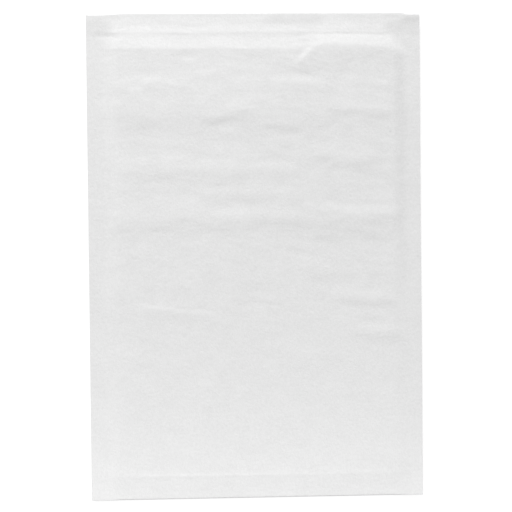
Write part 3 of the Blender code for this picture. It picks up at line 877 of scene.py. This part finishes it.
# %% [markdown]
# ## Adhesive and its cover
# A strip of hot melt runs across the flap's inner face, laid on by a slot nozzle, so its edges
# wander a little and its skin is rounded. A silicone-coated paper strip lies over it until the
# envelope is used. Both are hidden between flap and back, and thin, but they are real pieces.
# A box with a bevel would be too straight, so a ring of eight corners is swept along each strip.

# %% Two strips across the flap
# Spacing of the rings, size of the edges' sway and of the face's waves, in metres
RING_STEP, SWAY_SIZE, WAVE_SIZE = 3 * MM, 0.012, 0.02
# Width of the first and last ring, and height of the outer corners, against the others
END_WIDTH, EDGE_HEIGHT = 0.9, 0.75


def strip_piece(name, node, waver, wave, edge):
    """A thin strip in the box of its solid. Its long edges waver, its face waves, its edge is rounded."""
    low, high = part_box(node)
    middle, half = (low + high) / 2, (high - low) / 2
    ring = [(-1, -1), (-1, 1), (-edge, 1), (edge, 1), (1, 1), (1, -1), (edge, -1), (-edge, -1)]
    places = evenly(-half.x, half.x, RING_STEP)
    corners = []
    for number, x in enumerate(places):
        end = min(number, len(places) - 1 - number)
        narrow = END_WIDTH if end == 0 else 1.0
        sway = waver * noise.noise(Vector((x / SWAY_SIZE, 0.0, 2.2)))
        bulge = wave * (1 + noise.noise(Vector((x / WAVE_SIZE, 5.0, 2.2)))) / 2
        for across, up in ring:
            round_off = EDGE_HEIGHT if abs(across) == 1 else 1.0
            y = across * (half.y - waver) * narrow + sway
            z = middle.z + end_lift(x, TOP_Y - middle.y) + up * (half.z - bulge) * round_off
            corners.append((middle.x + x, middle.y + y, z))
    size = len(ring)
    faces = [(row * size + c, row * size + (c + 1) % size, (row + 1) * size + (c + 1) % size,
              (row + 1) * size + c) for row in range(len(places) - 1) for c in range(size)]
    last = (len(places) - 1) * size
    faces += [tuple(range(size - 1, -1, -1)), tuple(range(last, last + size))]
    piece = piece_from(name, corners, faces)
    turn_outwards(piece)
    make_plain(piece)
    return piece


adhesive = strip_piece("adhesive_bead", "adhesive_strip", 0.4 * MM, 0.03 * MM, 0.9)
cover = strip_piece("release_cover", "release_strip", 0.05 * MM, 0.02 * MM, 0.97)

# %% [markdown]
# ## Finishes of the strips
# Hot melt is pale amber and tacky, with strings along the nozzle's way. The strip over it is thin
# paper with a silicone coat, smoother than the outer paper. Both are plain noise on a plain colour.

# %% Finishes of the strips
hot_melt, shader, place = new_finish("hot_melt", (0.85, 0.8, 0.62), 0.3)
strings = grain(place, 300, detail=3, stretch=(0.2, 1, 1))
plug(shader, "Base Color", shade_colour((0.8, 0.74, 0.54), (0.88, 0.84, 0.68), strings))
plug(shader, "Roughness", 0.2 + 0.25 * strings)
plug_relief(shader, strings, 0.5, 0.1 * MM)
adhesive.data.materials.append(hot_melt)

release_paper, shader, place = new_finish("release_paper", (0.9, 0.9, 0.88), 0.35)
weave = grain(place, 900, detail=2)
plug(shader, "Base Color", shade_colour((0.87, 0.87, 0.85), (0.92, 0.92, 0.9), weave))
plug(shader, "Roughness", 0.28 + 0.15 * weave)
plug_relief(shader, weave, 0.2, 0.04 * MM)
cover.data.materials.append(release_paper)

# %% [markdown]
# ## A white table under soft light
# The paper is photographed on white. The table therefore glows for the camera only, up to plain
# white, while its own shading still takes the envelope's shadow. For all other rays it is a plain
# matt top, so it throws no extra light on the paper. Stronger lamps would make it white as well,
# but the paper would then burn out before it.

# %% The table
TABLE_REACH, TABLE_Z, TABLE_GREY, TABLE_GLOW = 3.0, -0.05 * MM, 0.4, 0.75
table_top = piece_from("table_top", [(x * TABLE_REACH, y * TABLE_REACH, TABLE_Z)
                                     for x, y in ((-1, -1), (1, -1), (1, 1), (-1, 1))], [(0, 1, 2, 3)])
table_white = bpy.data.materials.new("table_white")
table_white.use_nodes = True
nodes, links = table_white.node_tree.nodes, table_white.node_tree.links
nodes.clear()
start = Wire(table_white.node_tree)
seen = start.node("ShaderNodeLightPath", out="Is Camera Ray")
matt = start.node("ShaderNodeBsdfDiffuse", {}, {"Color": (TABLE_GREY, TABLE_GREY, TABLE_GREY, 1)})
glow = start.node("ShaderNodeEmission", {}, {"Color": (1, 1, 1, 1), "Strength": TABLE_GLOW * seen})
both = start.node("ShaderNodeAddShader", {}, {0: matt, 1: glow})
links.new(both.socket, nodes.new("ShaderNodeOutputMaterial").inputs["Surface"])
table_top.data.materials.append(table_white)
print("table of", 2 * TABLE_REACH, "m, staged")

# %% [markdown]
# ## Light and camera
# Shallow wrinkles show only under light that comes in low. A large soft lamp beyond the top fold
# gives about half of all the light on the paper, and an even world gives nearly all the rest. Two
# weak lamps help: one low beyond the bottom fold brightens the lower end, and one at the left
# lifts the slope there. The camera stands above, a little off square. One lamp overhead would be
# simpler, but it would wipe the wrinkles out.

# %% World and lamps
WORLD_LEVEL = 0.4465
world = bpy.data.worlds.new("studio")
bpy.context.scene.world = world
world.use_nodes = True
start = Wire(world.node_tree)
seen = start.node("ShaderNodeLightPath", out="Is Camera Ray")
backdrop = world.node_tree.nodes["Background"]
backdrop.inputs["Color"].default_value = (1, 1, 1, 1)
strength = WORLD_LEVEL + (1 - WORLD_LEVEL) * seen
world.node_tree.links.new(strength.socket, backdrop.inputs["Strength"])


def add_lamp(name, place, target, size, power):
    """A rectangular soft lamp that looks at a target, out of the camera's own sight."""
    light = bpy.data.lights.new(name, "AREA")
    light.shape, light.size, light.size_y, light.energy = "RECTANGLE", *size, power
    lamp = bpy.data.objects.new(name, light)
    bpy.context.scene.collection.objects.link(lamp)
    lamp.location = place
    lamp.rotation_euler = (Vector(target) - Vector(place)).to_track_quat("-Z", "Y").to_euler()
    lamp.visible_camera = False
    print(name, power, "W")


MAIN_DISTANCE, MAIN_RISE, MAIN_TURN = 3.2, radians(30), radians(10)
MAIN_SIZE, MAIN_POWER = (1.3, 0.77), 100.3
flat = MAIN_DISTANCE * cos(MAIN_RISE)
main_place = (-flat * sin(MAIN_TURN), flat * cos(MAIN_TURN), MAIN_DISTANCE * sin(MAIN_RISE))
add_lamp("main_lamp", main_place, (0, 0, 0), MAIN_SIZE, MAIN_POWER)
add_lamp("low_fill", (-0.06, -0.24, 0.13), (-0.06, -0.2395, 0), (0.7, 0.06), 0.176)
add_lamp("side_fill", (-0.5, 0.02, 0.5), (0, 0.02, 0), (0.4, 0.4), 0.27)

# %% Camera
# Place and turn are fitted to where the envelope's corners lie in the picture
camera = bpy.data.objects.new("camera", bpy.data.cameras.new("camera"))
bpy.context.scene.collection.objects.link(camera)
camera.data.lens, camera.data.sensor_width = 100, 36
camera.location = (-0.05006, 0.02007, 1.0276)
camera.rotation_euler = [radians(angle) for angle in (-1.0964, -2.8139, -0.5857)]
bpy.context.scene.camera = camera
bpy.context.scene.view_settings.view_transform = "Standard"
print("camera", round(camera.location.z, 2), "m above the table, lens", camera.data.lens, "mm")

# %% [markdown]
# ## Tie the pieces to the frame
# Each dressed piece rides on the body and stands for its solid, which is hidden.
# The pocket of film is the envelope's padding.

# %% Ride and replace
for piece, node, finish in (
        (paper, "outer_paper", "white_paper"), (film, "bubble_liner", "bubble_film"),
        (adhesive, "adhesive_strip", "hot_melt"), (cover, "release_strip", "release_paper")):
    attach(piece, "root")
    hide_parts(node)
    print(piece.name, "stands for", node)
